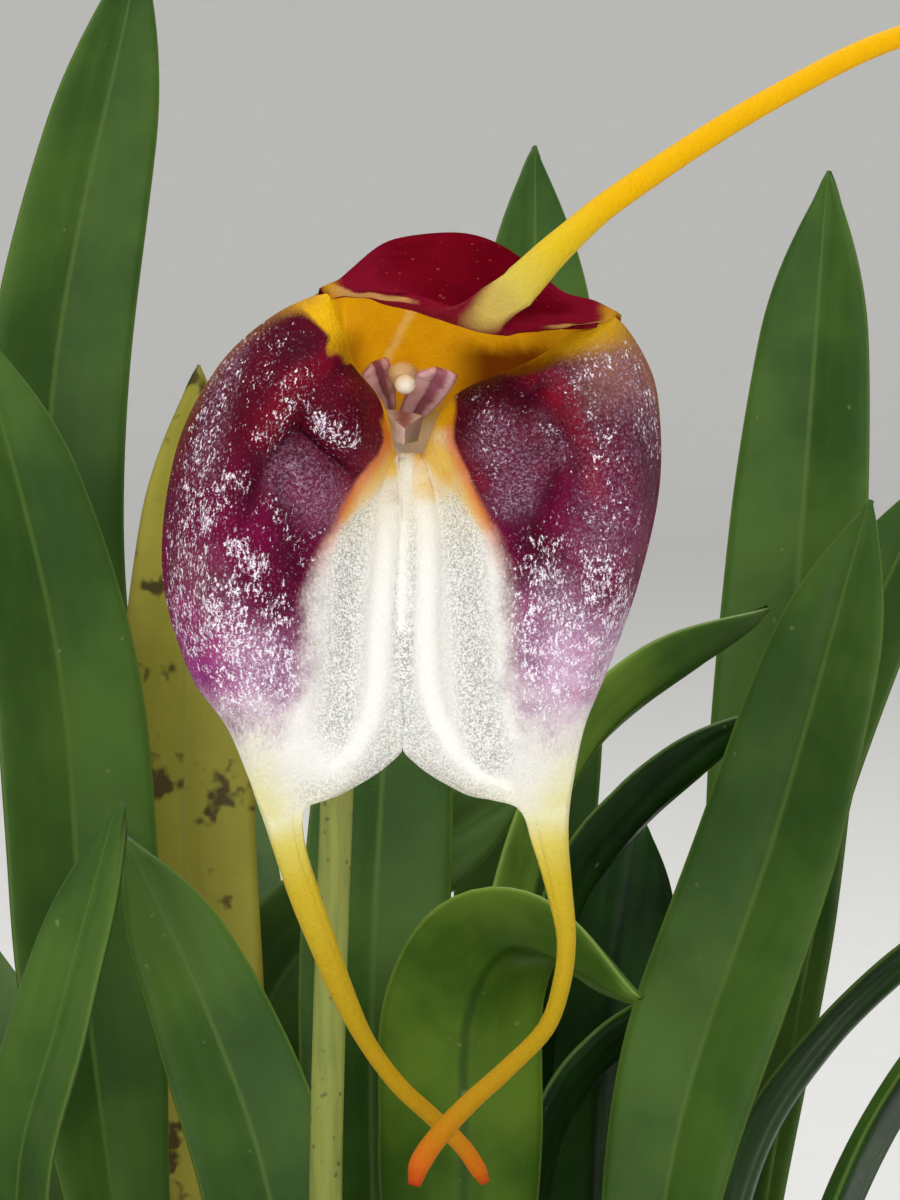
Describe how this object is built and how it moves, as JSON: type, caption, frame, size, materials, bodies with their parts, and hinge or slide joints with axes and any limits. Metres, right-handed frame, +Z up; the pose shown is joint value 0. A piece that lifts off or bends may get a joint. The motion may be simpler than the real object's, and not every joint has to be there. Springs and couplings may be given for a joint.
{
  "type": "potted masdevallia schroederiana",
  "caption": "Clay pot of bark mix with a tuft of leathery strap leaves and a long-tailed orchid bloom, white and purple with a yellow throat, on an upright stem.",
  "frame": {"origin": "the middle of the pot's flat foot, on the surface that it stands on", "axes": "+Z up along the pot's axis, and the bloom faces -Y"},
  "size_m": [0.1427, 0.1448, 0.2322],
  "materials": {
    "clay": "matt unglazed terracotta, a little weathered",
    "bark": "rough damp bark chips",
    "cane": "fibrous brown sheaths",
    "leaf": "smooth waxy green leaf with a sunken middle line",
    "old_leaf": "yellowing waxy leaf with dark spots",
    "flower_stalk": "smooth yellow-green stalk",
    "dry_sheath": "dry papery sheath",
    "sepal": "glistening flesh: purple pads, white middle, yellow throat and tails",
    "petal": "smooth mauve flesh with a purple stripe",
    "lip": "smooth pale mauve flesh",
    "column": "smooth beige flesh",
    "anther": "smooth cream cap"
  },
  "bodies": {
    "root": {"leaf_01": "leaf", "leaf_02": "leaf", "leaf_03": "leaf", "canes_01": "cane", "leaf_04": "leaf", "leaf_05": "leaf", "leaf_06": "leaf", "canes_02": "cane", "leaf_07": "leaf", "leaf_08": "leaf", "leaf_09": "leaf", "canes_03": "cane", "leaf_10": "old_leaf", "leaf_11": "leaf", "leaf_12": "leaf", "canes_04": "cane", "leaf_13": "leaf", "leaf_14": "leaf", "leaf_15": "leaf", "canes_05": "cane", "leaf_16": "leaf", "leaf_17": "leaf", "leaf_18": "leaf", "canes_06": "cane", "leaf_19": "leaf", "leaf_20": "leaf", "leaf_21": "leaf", "canes_07": "cane", "leaf_22": "leaf", "leaf_23": "leaf", "canes_08": "cane", "leaf_24": "leaf", "leaf_25": "leaf", "canes_09": "cane", "leaf_26": "leaf", "leaf_27": "leaf", "leaf_28": "leaf", "canes_10": "cane", "leaf_29": "leaf", "leaf_30": "leaf", "leaf_31": "leaf", "canes_11": "cane", "flower_stem": "flower_stalk", "stem_sheath": "dry_sheath", "floral_bract": "dry_sheath", "pot": "clay", "potting_mix": "bark", "calyx": "sepal", "petal_right": "petal", "petal_left": "petal", "lip": "lip", "column": "column", "anther_cap": "anther", "ovary": "flower_stalk"}
  },
  "joints": []
}
